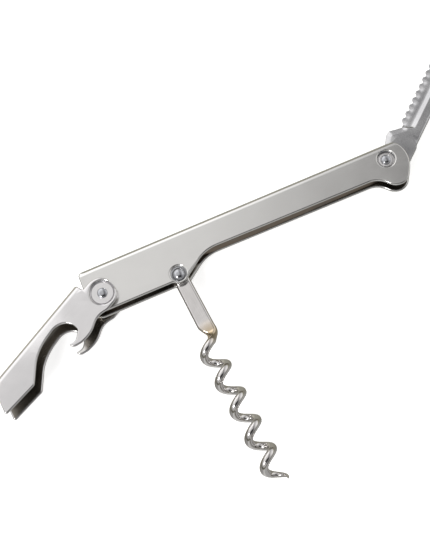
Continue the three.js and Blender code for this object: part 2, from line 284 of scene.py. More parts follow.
def lathed(profile, steps=ROUND_STEPS):
    """A closed solid of revolution about Z from (radius, z) points; a point on the axis is one vertex."""
    vertices, faces, rows = [], [], []
    for radius, z in profile:
        if radius < 1e-6:
            rows.append([len(vertices)] * steps)
            vertices.append((0, 0, z))
            continue
        rows.append(list(range(len(vertices), len(vertices) + steps)))
        for k in range(steps):
            angle = 2 * math.pi * k / steps
            vertices.append((radius * math.cos(angle), radius * math.sin(angle), z))
    for low, high in zip(rows, rows[1:] + rows[:1]):
        if low[0] == low[1] and high[0] == high[1]:
            continue
        for i in range(steps):
            j = (i + 1) % steps
            ring = [low[i], low[j], high[j], high[i]]
            unique = list(dict.fromkeys(ring))
            if len(unique) > 2:
                faces.append(tuple(unique))
    return vertices, faces


def rounded_ring(inner, outer, low, high, edge=0.09):
    """The profile of a flat ring with its four edges rounded."""
    profile = []
    corners = [(inner, low, 1, 1), (outer, low, -1, 1), (outer, high, -1, -1), (inner, high, 1, -1)]
    for i, (radius, z, into_r, into_z) in enumerate(corners):
        centre = (radius + into_r * edge, z + into_z * edge)
        start = math.radians(180 + 90 * i)
        for k in range(4):
            angle = start + HALF_PI * k / 3
            profile.append((centre[0] + edge * math.cos(angle), centre[1] + edge * math.sin(angle)))
    return profile


def smooth_path(points, per_span):
    """A centripetal Catmull-Rom curve through the points."""
    points = [np.array(p, float) for p in points]
    padded = [2 * points[0] - points[1]] + points + [2 * points[-1] - points[-2]]
    path = []
    for a, b, c, d in zip(padded, padded[1:], padded[2:], padded[3:]):
        ta = 0.0
        tb = ta + np.linalg.norm(b - a) ** 0.5
        tc = tb + np.linalg.norm(c - b) ** 0.5
        td = tc + np.linalg.norm(d - c) ** 0.5
        for k in range(per_span):
            t = tb + (tc - tb) * k / per_span
            ab = (tb - t) / (tb - ta) * a + (t - ta) / (tb - ta) * b
            bc = (tc - t) / (tc - tb) * b + (t - tb) / (tc - tb) * c
            cd = (td - t) / (td - tc) * c + (t - tc) / (td - tc) * d
            abc = (tc - t) / (tc - ta) * ab + (t - ta) / (tc - ta) * bc
            bcd = (td - t) / (td - tb) * bc + (t - tb) / (td - tb) * cd
            path.append((tc - t) / (tc - tb) * abc + (t - tb) / (tc - tb) * bcd)
    path.append(points[-1])
    return np.array(path)


def lofted(path, side, sections, corner_steps=6):
    """A solid swept along a path. Each section is (across, half width, half thickness, corner radius), where
    across is the shift along the side direction, which is carried along the path without twist."""
    tangents = np.gradient(path, axis=0)
    tangents /= np.linalg.norm(tangents, axis=1)[:, None]
    side = np.array(side, float)
    vertices, faces = [], []
    ring = 4 * (corner_steps + 1)
    for centre, tangent, (across, half_width, half_thick, corner) in zip(path, tangents, sections):
        side = side - tangent * (side @ tangent)
        side /= np.linalg.norm(side)
        up = np.cross(tangent, side)
        corner = min(corner, half_width, half_thick)
        for quarter in range(4):
            angle0 = HALF_PI * quarter
            sx = 1 if quarter in (0, 3) else -1
            sy = 1 if quarter in (0, 1) else -1
            for k in range(corner_steps + 1):
                angle = angle0 + HALF_PI * k / corner_steps
                x = across + sx * (half_width - corner) + corner * math.cos(angle)
                y = sy * (half_thick - corner) + corner * math.sin(angle)
                vertices.append(centre + x * side + y * up)
    rows = len(path)
    for i in range(rows - 1):
        for k in range(ring):
            j = (k + 1) % ring
            faces.append((i * ring + k, i * ring + j, (i + 1) * ring + j, (i + 1) * ring + k))
    faces.append(tuple(range(ring))[::-1])
    faces.append(tuple((rows - 1) * ring + k for k in range(ring)))
    return vertices, faces


# ---------------------------------------------------------------- folded channels

class Channel:
    """A sheet folded twice. The flat pattern's x runs along the channel, and its v goes up one wall, round
    the bend, over the spine and down the other wall. Heights are counted towards the spine. With a lean, the
    walls tilt inwards a little near the bends. With a curl_start, the spine turns down past that x."""

    def __init__(self, width, sheet_thickness, bend, spine, dimples=(), curl_start=None, lean=0.0):
        self.half = width / 2
        self.lean = lean
        self.thick = sheet_thickness
        self.bend = bend
        self.spine = spine
        self.foot = spine - bend
        self.arc = HALF_PI * (bend - sheet_thickness / 2)
        self.middle = self.foot + self.arc + self.half - bend
        self.dimples = dimples
        self.curl_start = curl_start

    def pattern_height(self, height):
        """The v of a point of the outer face at this height on a wall or in the bend."""
        if height <= self.foot:
            return height
        return self.foot + math.asin(min(1.0, (height - self.foot) / self.bend)) / HALF_PI * self.arc

    def bend_heights(self):
        return [self.foot + self.bend * math.sin(HALF_PI * k / BEND_STEPS) for k in range(BEND_STEPS)]

    def flat_pattern(self, wall, end_notch):
        """The outline of the flat sheet, from one wall's outline, whose top edge lies along the spine, and
        the points that end the spine, which cut the wall back where they start below its top."""
        wall = anticlockwise(wall)
        top = np.isclose(wall[:, 1], self.spine, atol=1e-6)
        starts = [i for i in range(len(wall)) if top[i] and not top[(i + 1) % len(wall)]]
        wall = np.roll(wall, -starts[0], 0)
        last = max(i for i in range(len(wall)) if np.isclose(wall[i, 1], self.spine, atol=1e-6))
        chain = [tuple(wall[0])]
        levels = self.bend_heights()
        for a, b in zip(wall[:last], wall[1:last + 1]):
            cuts = []
            for level in levels:
                if (a[1] - level) * (b[1] - level) < -1e-9:
                    t = (level - a[1]) / (b[1] - a[1])
                    cuts.append((t, tuple(a + t * (b - a))))
            chain += [point for _, point in sorted(cuts)]
            chain.append(tuple(b))
        near = [(x, self.pattern_height(height)) for x, height in chain]
        level = end_notch[0][1]
        while near[-2][1] > level:
            near.pop()
        if near[-1][1] > level:
            (x0, v0), (x1, v1) = near[-2:]
            near[-1] = (x0 + (x1 - x0) * (level - v0) / (v1 - v0), level)
        far = [(x, 2 * self.middle - v) for x, v in reversed(near)]
        return anticlockwise(np.array(near + list(end_notch) + far))

    def lines(self, x_low, x_high):
        """Lines in the bends and rings round the dimples, for the sheet's triangles to follow."""
        xs = np.linspace(x_low, x_high, int((x_high - x_low) / 2.5) + 2)
        levels = [self.foot + self.arc * k / BEND_STEPS for k in range(BEND_STEPS + 1)]
        lines = [np.stack([xs, np.full(len(xs), v)], 1) for v in levels]
        lines += [np.stack([xs, np.full(len(xs), 2 * self.middle - v)], 1) for v in levels]
        if self.curl_start is not None:
            for k in range(BEND_STEPS + 1):
                x = self.curl_start + self.arc * k / BEND_STEPS
                across = self.half - self.bend
                vs = np.linspace(self.middle - across, self.middle + across, 6)
                lines.append(np.stack([np.full(len(vs), x), vs], 1))
        for dimple in self.dimples:
            radii = sorted(set(dimple["recess"][0][1:]) | set(dimple["boss"][0][1:]))
            for radius in radii:
                ring = circle(dimple["x"], dimple["y"], radius)
                ring = np.concatenate([ring, ring[:1]])
                lines.append(ring)
                lines.append(np.stack([ring[:, 0], 2 * self.middle - ring[:, 1]], 1))
        return lines

    def holes(self, pivots):
        loops = []
        for x, y, radius in pivots:
            loops.append(circle(x, y, radius))
            loops.append(circle(x, 2 * self.middle - y, radius))
        return loops

    def surface(self, points, depth):
        x, v = points[:, 0].copy(), points[:, 1]
        far = v > self.middle
        v = np.where(far, 2 * self.middle - v, v)
        angle = np.clip((v - self.foot) / self.arc, 0, 1) * HALF_PI
        on_spine = np.clip(v - self.foot - self.arc, 0, None)
        leaned = self.lean * np.clip((v - self.foot) / 3.2 + 1, 0, 1) ** 1.6
        sets = []
        for level in (0.0, 1.0):
            radius = self.bend - level * self.thick
            height = np.where(v < self.foot, v, self.foot + radius * np.sin(angle))
            across = self.half - self.bend + (radius - leaned) * np.cos(angle) - on_spine
            for dimple in self.dimples:
                reach = np.hypot(x - dimple["x"], v - dimple["y"])
                radii, depths = dimple["boss"] if level else dimple["recess"]
                across = across - np.where(v < self.foot, np.interp(reach, radii, depths), 0)
            along = x
            if self.curl_start is not None:
                past = np.where(v > self.foot + self.arc - 1e-6, np.clip(x - self.curl_start, 0, None), 0)
                curl = np.clip(past / self.arc, 0, 1) * HALF_PI
                straight = np.clip(past - self.arc, 0, None)
                curled = self.spine - self.bend + radius * np.cos(curl) - straight
                along = np.where(past > 0, self.curl_start + radius * np.sin(curl), x)
                height = np.where(past > 0, curled, height)
            sets.append(np.stack([along, height, np.where(far, -across, across)], 1))
        return sets[0] * (1 - depth)[:, None] + sets[1] * depth[:, None]


def dimple(x, y, recess_depth, floor, rim, boss_depth, boss_face, boss_root):
    """A round dimple pressed into a wall: its recess outside and its boss inside, as radius and depth."""
    step = rim - floor
    radii = [0, floor - 0.3, floor - 0.1, floor + 0.05]
    radii += [floor + step * f for f in (0.3, 0.6, 0.85)] + [rim + 0.05, rim + 0.18, rim + 0.33]
    recess = (radii, [recess_depth * f for f in (1, 1, 0.97, 0.86, 0.66, 0.4, 0.2, 0.09, 0.03, 0)])
    step = boss_root - boss_face
    boss = (
        [0, boss_face - 0.15, boss_face, boss_face + 0.5 * step, boss_root, boss_root + 0.12],
        [boss_depth * f for f in (1, 0.98, 0.85, 0.45, 0.08, 0)],
    )
    return {"x": x, "y": y, "recess": recess, "boss": boss}


# ---------------------------------------------------------------- materials

def node(tree, kind, **values):
    made = tree.nodes.new(kind)
    for key, value in values.items():
        if key.startswith("in_"):
            socket = key[3:]
            made.inputs[int(socket) if socket.isdigit() else socket.replace("_", " ")].default_value = value
        else:
            setattr(made, key, value)
    return made


def ramp(tree, stops):
    """A colour ramp from (position, grey or colour) stops."""
    made = tree.nodes.new("ShaderNodeValToRGB")
    elements = made.color_ramp.elements
    while len(elements) > 1:
        elements.remove(elements[-1])
    for i, (position, colour) in enumerate(stops):
        element = elements[0] if i == 0 else elements.new(position)
        element.position = position
        value = (colour,) * 3 if isinstance(colour, (int, float)) else tuple(colour)
        element.color = (*value, 1)
    return made


def steel(name, dark, light, rough, grain_angle, grain, mottle, pits=0.0, tint=None, patch=None):
    """Polished or ground steel: fine lines along the grain, a cloudy tone and a roughness to match.

    tint is (position, colour), a third colour between dark and light. patch is (centre, inner reach, outer
    reach, colour), a round patch of another colour that fades out between the two reaches."""
    material = bpy.data.materials.new(name)
    material.use_nodes = True
    tree = material.node_tree
    tree.nodes.clear()
    link = tree.links.new
    out = node(tree, "ShaderNodeOutputMaterial")
    shader = node(tree, "ShaderNodeBsdfPrincipled", in_Metallic=1.0)
    link(shader.outputs[0], out.inputs["Surface"])
    place = node(tree, "ShaderNodeTexCoord")
    turn = node(tree, "ShaderNodeMapping")
    turn.inputs["Rotation"].default_value = (0, 0, -grain_angle)
    link(place.outputs["Object"], turn.inputs["Vector"])
    stretch = node(tree, "ShaderNodeMapping")
    stretch.inputs["Scale"].default_value = (0.035, 1, 1)
    link(turn.outputs[0], stretch.inputs["Vector"])
    lines = node(tree, "ShaderNodeTexNoise", in_Scale=5200.0, in_Detail=4.0, in_Roughness=0.65)
    link(stretch.outputs[0], lines.inputs["Vector"])
    clouds = node(tree, "ShaderNodeTexNoise", in_Scale=85.0, in_Detail=5.0, in_Roughness=0.6)
    clouds.inputs["Distortion"].default_value = 0.4
    link(turn.outputs[0], clouds.inputs["Vector"])

    tone = node(tree, "ShaderNodeMix", data_type="FLOAT")
    tone.inputs[0].default_value = 1 - mottle
    link(clouds.outputs[0], tone.inputs[2])
    link(lines.outputs[0], tone.inputs[3])
    stops = [(0.3, dark), (0.7, light)]
    if tint is not None:
        stops = [(0.3, dark), tint, (0.75, light)]
    colour = ramp(tree, stops)
    link(tone.outputs[0], colour.inputs[0])
    link(colour.outputs[0], shader.inputs["Base Color"])
    if patch is not None:
        centre, start, reach, shade = patch
        away = node(tree, "ShaderNodeVectorMath", operation="DISTANCE")
        away.inputs[1].default_value = centre
        link(place.outputs["Object"], away.inputs[0])
        near = node(tree, "ShaderNodeMapRange")
        near.inputs["From Min"].default_value = start
        near.inputs["From Max"].default_value = reach
        near.inputs["To Min"].default_value = 1
        near.inputs["To Max"].default_value = 0
        link(away.outputs["Value"], near.inputs["Value"])
        patched = node(tree, "ShaderNodeMix", data_type="RGBA")
        patched.inputs[7].default_value = (*shade, 1)
        link(near.outputs[0], patched.inputs[0])
        link(colour.outputs[0], patched.inputs[6])
        link(patched.outputs[2], shader.inputs["Base Color"])

    spread = node(tree, "ShaderNodeMapRange")
    spread.inputs["From Min"].default_value = 0.3
    spread.inputs["From Max"].default_value = 0.7
    spread.inputs["To Min"].default_value = rough * 0.8
    spread.inputs["To Max"].default_value = rough * 1.25
    link(tone.outputs[0], spread.inputs["Value"])
    link(spread.outputs[0], shader.inputs["Roughness"])

    bump = node(tree, "ShaderNodeBump", in_Strength=grain, in_Distance=0.00002)
    link(lines.outputs[0], bump.inputs["Height"])
    last = bump
    if pits:
        specks = node(tree, "ShaderNodeTexNoise", in_Scale=1500.0, in_Detail=2.0)
        link(turn.outputs[0], specks.inputs["Vector"])
        pitted = node(tree, "ShaderNodeBump", in_Strength=pits, in_Distance=0.00005)
        link(specks.outputs[0], pitted.inputs["Height"])
        link(bump.outputs[0], pitted.inputs["Normal"])
        last = pitted
    link(last.outputs[0], shader.inputs["Normal"])
    return material


# Steel for the inner faces of the channels, darker than outside: painted shade, standing in for the dark
# reflections inside the channels.
def painted_shade_steel(name, patch=None):
    return steel(name, (0.26, 0.24, 0.21), (0.38, 0.355, 0.325), 0.24, 0.0, 0.3, 0.7, 0.3, patch=patch)


# Where the worm is forged down from flat to round: a painted reflection, an ochre patch for the brownish
# reflection on its curved top.
neck_at = placed(WORM_PIVOT, WORM_ANGLE) @ Vector((22.4, 0.2, 1.2))
neck_painted_reflection = (neck_at, 0, 0.0052, (0.60, 0.47, 0.30))
# At the tips of the lever's hooks: a painted highlight, a bright patch where the inside of the tips, not
# shaded by the other wall, shows a bright reflection.
hooks_at = placed(LEVER_PIVOT, LEVER_ANGLE) @ Vector((19.3, 3.6, 0))
hook_tip_highlight = (hooks_at, 0.0052, 0.0059, (0.92, 0.91, 0.89))

handle_face = steel("handle_polished", (0.70, 0.695, 0.685), (0.78, 0.775, 0.765), 0.17, 0.0, 0.05, 0.6)
lever_face = steel("lever_polished", (0.71, 0.70, 0.71), (0.79, 0.78, 0.79), 0.16, LEVER_ANGLE, 0.05, 0.6)
# The inner faces carry painted shade. The lever's inner faces also carry the painted highlight at its hook
# tips.
painted_shade_inside = painted_shade_steel("sheet_inside_painted_shade")
lever_painted_shade_inside = painted_shade_steel("lever_inside_painted_shade", hook_tip_highlight)
# The worm's steel carries the painted reflection at its neck.
worm_face = steel(
    "worm_bright", (0.60, 0.58, 0.575), (0.80, 0.785, 0.78), 0.1, WORM_ANGLE, 0.12, 0.5, 0.08,
    patch=neck_painted_reflection,
)
blade_face = steel(
    "blade_ground", (0.42, 0.42, 0.435), (0.68, 0.68, 0.69), 0.2, KNIFE_ANGLE + 1.3, 0.35, 0.75, 0.25
)
rivet_face = steel("rivet_headed", (0.40, 0.41, 0.44), (0.58, 0.59, 0.62), 0.18, 0.4, 0.1, 0.7, 0.2)
washer_face = steel("washer_steel", (0.72, 0.71, 0.72), (0.84, 0.83, 0.84), 0.24, 0.9, 0.2, 0.5, 0.1)
tempered = (0.52, (0.19, 0.14, 0.095))
spring_face = steel(
    "spring_tempered", (0.10, 0.075, 0.055), (0.25, 0.22, 0.20), 0.33, 0.0, 0.4, 0.75, 0.2, tint=tempered
)


# ---------------------------------------------------------------- handle

HANDLE_WIDTH = 7.2
HANDLE_SPINE = 10.7


def handle_outline():
    """One wall, x along the handle from the lever's pivot."""
    left, wide, narrow = -5.5, -5.5, 0.6
    return outline([
        (left, HANDLE_SPINE, 1.5),
        (left, wide, 3),
        (WORM_AT.x - 2.75, wide, 1.5),
        (WORM_AT.x + 0.05, WORM_AT.y - 4.06, 3.3),
        (WORM_AT.x + 11, narrow, 12),
        (KNIFE_AT.x - 5.3, 0, 6.9),
        (KNIFE_AT.x - 1.2, -4.7, 4.8),
        (KNIFE_AT.x + 3.6, -4.9, 4.3),
        (KNIFE_AT.x + 9.1, 5.2, 9.3),
        (KNIFE_AT.x + 4.2, HANDLE_SPINE, 1.7),
    ])


def make_handle():
    slot_start, slot_half = 51.5, 1.6
    pressed = [
        dimple(
            WORM_AT.x, WORM_AT.y, recess_depth=1.12, floor=2.1, rim=2.85,
            boss_depth=1.1, boss_face=2.95, boss_root=3.15,
        ),
        dimple(
            KNIFE_AT.x, KNIFE_AT.y, recess_depth=1.4, floor=2.38, rim=3.05,
            boss_depth=1.1, boss_face=3.3, boss_root=3.5,
        ),
    ]
    fold = Channel(HANDLE_WIDTH, SHEET, BEND, HANDLE_SPINE, pressed)
    wall = handle_outline()
    end = max(p[0] for p in wall if abs(p[1] - HANDLE_SPINE) < 1e-6)
    notch = [(end, fold.middle - slot_half)]
    for k in range(13):
        angle = -HALF_PI - math.pi * k / 12
        x = slot_start + slot_half * (1 + math.cos(angle))
        notch.append((x, fold.middle + slot_half * math.sin(angle)))
    notch.append((end, fold.middle + slot_half))
    loops = [fold.flat_pattern(wall, notch)]
    loops += fold.holes([(0, 0, LEVER_BORE), (*WORM_AT, WORM_BORE), (*KNIFE_AT, KNIFE_BORE)])
    vertices, faces, sides = sheet(loops, fold.lines(-5, 112), fold.surface, SHEET, RIM_EDGE)
    return finished("handle_sheet", vertices, faces, placed(LEVER_PIVOT), [handle_face, painted_shade_inside], sides)


# ---------------------------------------------------------------- lever

LEVER_WIDTH = 12
LEVER_SPINE = 9.1
LEVER_LENGTH = 50
LIP_DROP = 2.1  # of the lip's flat part, past its bend
HOOK_TIP = (19.7, -2.8)


def lever_outline():
    """One wall, x along the lever from its pivot, heights counted towards its spine."""
    start = 3.4
    return outline([
        (start, LEVER_SPINE, 0.5),
        (47.2, LEVER_SPINE, 0),
        (46.4, 5.6, 0.6),
        (49.7, -1.4, 0.7),
        (36.7, -2.35, 1.4),
        (29.9, 2.6, 14.9),
        (25.2, 4.45, 19.9),
        (17.4, 5, 5.4),
        (13.7, 1.6, 4.85),
        (14.3, -1.7, 1.1),
        (17.5, -3.6, 2.5),
        (*HOOK_TIP, 0.2),
        (19.9, -4.4, 1.7),
        (16.8, -5.6, 3.5),
        (12.4, -6.05, 10),
        (7, -3.85, 6.4),
        (3.2, -5.25, 3),
        (-3.7, -5.4, 4.6),
        (-5.2, 5.4, 4.9),
        (start - 0.2, 5.8, 0.5),
    ])


def make_lever():
    curl_start = LEVER_LENGTH - BEND
    pressed = [
        dimple(
            0, 0, recess_depth=1.35, floor=3.62, rim=4.25,
            boss_depth=1.05, boss_face=4.5, boss_root=4.75,
        ),
    ]
    fold = Channel(LEVER_WIDTH, SHEET, BEND, LEVER_SPINE, pressed, curl_start, lean=0.34)
    lip = curl_start + fold.arc + LIP_DROP
    half = fold.half - BEND
    low, high = fold.middle - half, fold.middle + half
    curl = [curl_start + fold.arc * k / BEND_STEPS for k in range(BEND_STEPS + 1)]
    tongue = [(x, low) for x in curl]
    tongue += [(lip - 0.5, low), (lip - 0.15, low + 0.15), (lip, low + 0.5)]
    tongue += [(lip, high - 0.5), (lip - 0.15, high - 0.15), (lip - 0.5, high)]
    tongue += [(x, high) for x in reversed(curl)]
    loops = [fold.flat_pattern(lever_outline(), tongue)] + fold.holes([(0, 0, LEVER_BORE)])
    hook_tips = [HOOK_TIP, (HOOK_TIP[0], 2 * fold.middle - HOOK_TIP[1])]
    vertices, faces, sides = sheet(loops, fold.lines(3.5, 47), fold.surface, SHEET, RIM_EDGE, tips=hook_tips)
    matrix = placed(LEVER_PIVOT, LEVER_ANGLE) @ Matrix.Scale(-1, 4, (0, 1, 0))
    return finished("lever_sheet", vertices, faces, matrix, [lever_face, lever_painted_shade_inside], sides)


# ---------------------------------------------------------------- worm

def make_worm():
    wire = 1.4  # radius of the wire
    radius = 2.75  # of the helix, to the middle of the wire
    pitch = 10.15
    turns = 5.1
    start = 23.6  # where the helix begins, from the pivot
    axis = -2.7  # of the helix, from the shank's middle
    point = 11.0  # length of the taper
    shank_half = 2.6
    shank_thick = 1.1
    eye = 2.65  # radius of the shank's round end
    points = [(-eye + 0.02, 0, 0), (0, 0, 0), (10, 0, 0), (19.5, 0, 0), (22.2, 0.08, 0.03)]
    degrees = 42.0
    while degrees < turns * 360 + 1:
        angle = math.radians(degrees)
        x = start + pitch * degrees / 360
        points.append((x, axis + radius * math.cos(angle), radius * math.sin(angle)))
        degrees += 15
    head = smooth_path(points[:5], 24)
    path = smooth_path(points, 4)
    path = np.concatenate([head[head[:, 0] < 19.5], path[path[:, 0] >= 19.5]])
    length = np.concatenate([[0], np.cumsum(np.linalg.norm(np.diff(path, axis=0), axis=1))])
    reach = length - eye
    left = np.interp(reach, [3, 18.3, 18.9, 19.5, 22.4, 23.6], [2.6, 2.88, 2.84, 2.6, 1.3, wire])
    right = np.interp(reach, [21.2, 21.9, 22.9, 23.9, 25.2], [2.6, 2.5, 2.1, 1.65, wire])
    thick = np.interp(reach, [17.2, 17.9, 20.2, 22.0], [shank_thick, 1.13, 1.38, wire])
    corner = np.interp(reach, [17.0, 20.0, 22.6, 24.4], [0.95, 1.0, 1.2, wire])
    eye_end = reach < 0
    width = np.sqrt(np.clip(eye * eye - reach * reach, 0.04, None))
    left = np.where(eye_end, np.minimum(width, shank_half), left)
    right = np.where(eye_end, np.minimum(width, shank_half), right)
    to_go = length[-1] - length
    taper = np.minimum(1, 0.06 + 0.94 * np.clip(to_go / point, 0, None) ** 0.72)
    sections = np.stack([(right - left) / 2, (right + left) / 2 * taper, thick * taper, corner * taper], 1)
    vertices, faces = lofted(path, (0, 1, 0), sections)
    piece = finished("worm_screw", vertices, faces, placed(WORM_PIVOT, WORM_ANGLE), [worm_face])
    cut_hole(piece, WORM_PIVOT, WORM_BORE)
    return piece


def cut_hole(piece, at, radius):
    """Drills the rivet's hole through a piece, along Z."""
    vertices, faces = lathed([(0, -6), (radius, -6), (radius, 6), (0, 6)])
    drill = finished("drill", vertices, faces, placed(at), [])
    drill.modifiers.clear()
    cut = piece.modifiers.new("hole", "BOOLEAN")
    cut.operation = "DIFFERENCE"
    cut.solver = "EXACT"
    cut.object = drill
    piece.modifiers.move(len(piece.modifiers) - 1, 0)
    bpy.context.view_layer.update()
    graph = bpy.context.evaluated_depsgraph_get()
    weighted = piece.modifiers["even_shading"]
    weighted.show_viewport = False
    graph.update()
    mesh = bpy.data.meshes.new_from_object(piece.evaluated_get(graph))
    mesh.name = piece.name
    old = piece.data
    piece.modifiers.remove(piece.modifiers["hole"])
    weighted.show_viewport = True
    piece.data = mesh
    bpy.data.meshes.remove(old)
    bpy.data.objects.remove(drill)


# ---------------------------------------------------------------- foil knife

TOOTH_PITCH = 2.78
FIRST_TOOTH = 16.5
TEETH = 10
PLUNGE = 13.4
BLADE_LENGTH = 50


def knife_outline():
    """Side view of the knife, x from its pivot to its tip, the teeth on the +Y side."""
    pivot_round = 3.5
    corners = [
        (-pivot_round, -pivot_round, pivot_round * 0.98),
        (0.6, -pivot_round, 0.4),
        (1.2, -7.1, 1),
        (9.1, -7.1, 0.3),
        (10.1, -6.7, 0.3),
        (36, -6.7, 26),
        (BLADE_LENGTH, 0.4, 0.8),
        (BLADE_LENGTH - 1.4, 2.2, 0.6),
    ]
    for i in reversed(range(TEETH)):
        tip = FIRST_TOOTH + i * TOOTH_PITCH
        corners += [(tip + 0.45, 1.45, 0.18), (tip - 0.25, 1.45, 0.18), (tip - TOOTH_PITCH / 2, 0.45, 0.8)]
    corners += [
        (PLUNGE + 0.3, 0.2, 0.4),
        (10.6, 3.7, 0.8),
        (8.9, 3.9, 1.5),
        (5.2, 2.7, 3),
        (1.5, pivot_round, 2),
        (-pivot_round, pivot_round, pivot_round * 0.98),
    ]
    return anticlockwise(outline(corners, math.radians(14)))


def make_knife():
    half, edge_half, least = 1.1, 0.22, 0.16  # of the thickness: the tang, the ground edge, anywhere
    bevel_width, bevel_depth = 1.9, 0.6  # along the kick
    back_width, back_depth = 0.5, 0.24  # along the back
    scallop_depth = 0.2
    loop = knife_outline()
    kick = [(3.5, 3.0), (5.5, 2.85), (7.3, 3.45), (8.9, 3.9), (10.6, 3.6), (13.5, 0.2)]
    grind, tip_side = -3.9, 1.5
    last_tooth = FIRST_TOOTH + (TEETH - 1) * TOOTH_PITCH
    ground_away = (
        [0, 0.04, 0.1, 0.17, 0.24, 0.33, 0.45, 0.7, 1],
        [0, 0.04, 0.16, 0.39, 0.55, 0.63, 0.66, 0.74, 0.86],
    )

    rightward = np.roll(loop[:, 0], -1) > loop[:, 0]
    back_edge = loop[rightward & (loop[:, 0] > 10)]
    back_edge = back_edge[np.argsort(back_edge[:, 0])]

    def back_of(x):
        return np.interp(x, back_edge[:, 0], back_edge[:, 1])

    def half_thickness(points):
        x, y = points[:, 0], points[:, 1]
        plunge = PLUNGE + 0.35 * (0.1 - y) * (y < 0.1)
        s = np.clip((y - grind) / (tip_side - grind), 0, 1)
        hollow = half - (half - edge_half) * np.interp(s, *ground_away)
        blend = np.clip((x - plunge) / 0.9, 0, 1)
        blend = blend * blend * (3 - 2 * blend)
        thick = half + (hollow - half) * blend * (y > grind)
        tooth = np.cos((x - FIRST_TOOTH) / TOOTH_PITCH * 2 * math.pi)
        near_edge = np.clip((y + 0.7) / 1.3, 0, 1) * (x > PLUNGE + 1.2) * (x < last_tooth)
        thick = thick - scallop_depth * near_edge * (0.5 - 0.5 * tooth)
        bevel = np.clip(1 - distance_to(points, kick) / bevel_width, 0, 1)
        thick = thick - bevel_depth * bevel ** 1.2 * (x < plunge + 0.4)
        back_bevel = np.clip(1 - (y - back_of(x)) / back_width, 0, 1) * (x > 10)
        return np.maximum(thick - back_depth * back_bevel, least)

    def surface(points, depth):
        h = half_thickness(points)
        return np.stack([points[:, 0], points[:, 1], h * (1 - 2 * depth)], 1)

    lines = []
    xs = np.arange(PLUNGE - 0.6, BLADE_LENGTH, 0.55)
    for s in (-0.03, 0.01, 0.04, 0.1, 0.17, 0.24, 0.33, 0.45, 0.58, 0.64, 0.7, 0.77, 0.84, 0.91):
        lines.append(np.stack([xs, np.full(len(xs), grind + s * (tip_side - grind))], 1))
    for up in (0.45, 0.9):
        lines.append(np.stack([xs[xs > 10.5], back_of(xs[xs > 10.5]) + up], 1))
    for back in (0.25, 0.6, 1.0, 1.35, 1.7, 1.95):
        path = np.array([
            (3.5, 3.0 - back),
            (5.6, 2.9 - back),
            (7.3 + 0.2 * back, 3.5 - back),
            (8.8 + 0.1 * back, 3.95 - back),
            (9.9 - 0.35 * back, 3.6 - 0.75 * back),
            (13.2 - back, 0.3 - back * 0.4),
        ])
        dense = np.concatenate([np.linspace(a, b, 12)[:-1] for a, b in zip(path[:-1], path[1:])])
        lines.append(dense)
    for shift in (-0.1, 0.15, 0.4, 0.65, 0.95):
        ys = np.linspace(-3.7, 0.0, 9)
        lines.append(np.stack([PLUNGE + 0.35 * (0.1 - ys) + shift, ys], 1))
    loops = [loop, circle(0, 0, KNIFE_BORE)]
    vertices, faces, _ = sheet(loops, lines, surface, thickness=1.4, edge=0.16, edge_steps=3)
    matrix = placed(KNIFE_PIVOT, KNIFE_ANGLE)
    return finished("knife_blade", vertices, faces, matrix, [blade_face], sharp=24.0)


# ---------------------------------------------------------------- back spring

def make_spring():
    width, thick = 4.0, 0.8
    top = 1.5  # height of the straight stretch, over the pivot
    end = 102.6
    hook = TUBE_RADIUS + 0.3 + thick / 2
    level = top - thick / 2
    points = []
    for degrees in range(60, 271, 30):
        angle = math.radians(degrees)
        points.append((hook * math.cos(angle), hook * math.sin(angle), 0))
    points += [(5, -hook + 0.1, 0), (13, -0.8, 0), (20, level, 0)]
    points += [(28, level + 0.2, 0), (42, level, 0), (end, level, 0)]
    path = smooth_path(points, 9)
    vertices, faces = lofted(path, (0, 0, 1), [(0, width / 2, thick / 2, 0.14)] * len(path), 3)
    return finished("spring_leaf", vertices, faces, placed(LEVER_PIVOT), [spring_face])


# ---------------------------------------------------------------- rivets, washers and sleeve

def make_rivet(name, at, shank, head, dome, top):
    """A straight shank with a low dome at each end, its rim turned under and its crown a little flat."""
    seat = top - dome
    upper = [(shank, seat + 0.02), (head - 0.12, seat), (head - 0.03, seat + 0.05), (head, seat + 0.14)]
    steps = 14
    for i in range(1, steps + 1):
        angle = i / steps * HALF_PI
        upper.append((head * math.cos(angle) ** 0.92, seat + 0.14 + (dome - 0.14) * math.sin(angle)))
    upper[-1] = (0, top)
    lower = [(radius, -z) for radius, z in reversed(upper)]
    vertices, faces = lathed(lower + upper)
    return finished(name, vertices, faces, placed(at), [rivet_face])


def make_washer(name, at, side, inner, outer, low, high):
    profile = rounded_ring(inner, outer, low, high)
    if side < 0:
        profile = [(radius, -z) for radius, z in reversed(profile)]
    vertices, faces = lathed(profile)
    return finished(name, vertices, faces, placed(at), [washer_face])


def make_sleeve():
    half_length = 2.25
    vertices, faces = lathed(rounded_ring(LEVER_BORE, TUBE_RADIUS, -half_length, half_length, 0.15))
    return finished("spacer_sleeve", vertices, faces, placed(LEVER_PIVOT), [rivet_face])


# ---------------------------------------------------------------- the assembly

PIECES = [
    (make_handle(), "handle", "handle", "handle_steel"),
    (make_lever(), "lever", "lever", "lever_steel"),
    (make_worm(), "worm", "worm", "worm_steel"),
    (make_knife(), "knife", "foil_knife", "blade_steel"),
    (make_spring(), "handle", "back_spring", "spring_steel"),
    (make_sleeve(), "handle", "lever_spacer_tube", "rivet_steel"),
]
